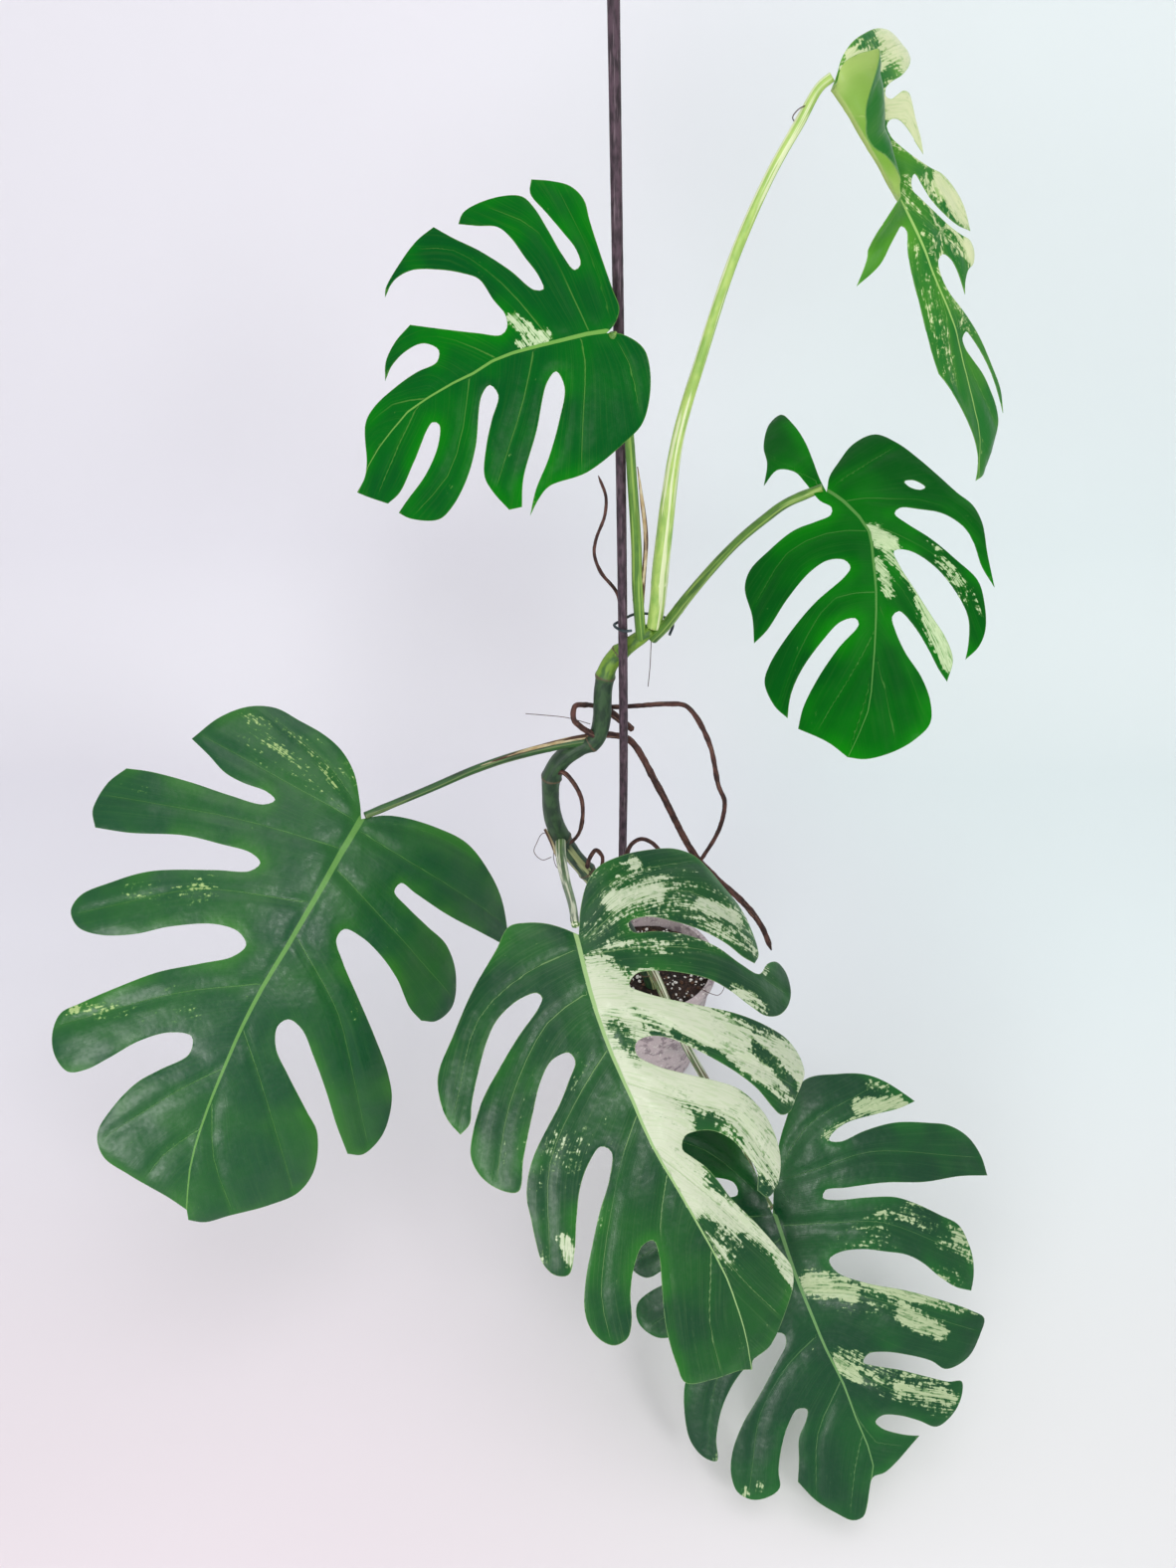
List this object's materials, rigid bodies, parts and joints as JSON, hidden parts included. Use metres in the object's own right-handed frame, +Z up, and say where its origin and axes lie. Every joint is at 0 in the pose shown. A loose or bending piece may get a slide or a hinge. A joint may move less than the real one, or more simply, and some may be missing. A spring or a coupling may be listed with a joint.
{
  "type": "potted monstera plant",
  "caption": "Variegated split-leaf house plant: long-stalked notched leaves on a winding stem tied to a tall stake in a small tapered pot of soil.",
  "frame": {"origin": "centre of the pot's underside, on the surface it stands on", "axes": "+Z up the stake, +X to the side the upper leaves reach, +Y to the back; the large lower leaves hang to the front, -Y"},
  "size_m": [0.7867, 0.5905, 1.2001],
  "materials": {
    "pot": "matte mottled warm grey",
    "soil": "crumbly dark soil with white grains",
    "stake": "mottled purple-brown, slightly rough",
    "tie": "plastic-coated wire",
    "stem": "smooth green, ringed at the nodes",
    "petiole": "smooth green plant stalk",
    "root": "brown, woody",
    "blade": "glossy green, marbled with cream"
  },
  "bodies": {
    "root": {"pot": "pot", "soil": "soil", "stake": "stake", "stem": "stem", "leaf_lower_left": "blade", "leaf_upper_left": "blade", "leaf_upper_right": "blade", "leaf_middle_right": "blade", "leaf_front": "blade", "leaf_lower_right": "blade", "petiole_upper_right": "petiole", "petiole_upper_left": "petiole", "petiole_middle_right": "petiole", "petiole_lower_left": "petiole", "petiole_front": "petiole", "petiole_lower_right": "petiole", "root_thick": "root", "root_kinked": "root", "root_loop": "root", "root_hook": "root", "root_arch": "root", "root_rising": "root", "root_stub": "root", "tie": "tie"}
  },
  "joints": []
}
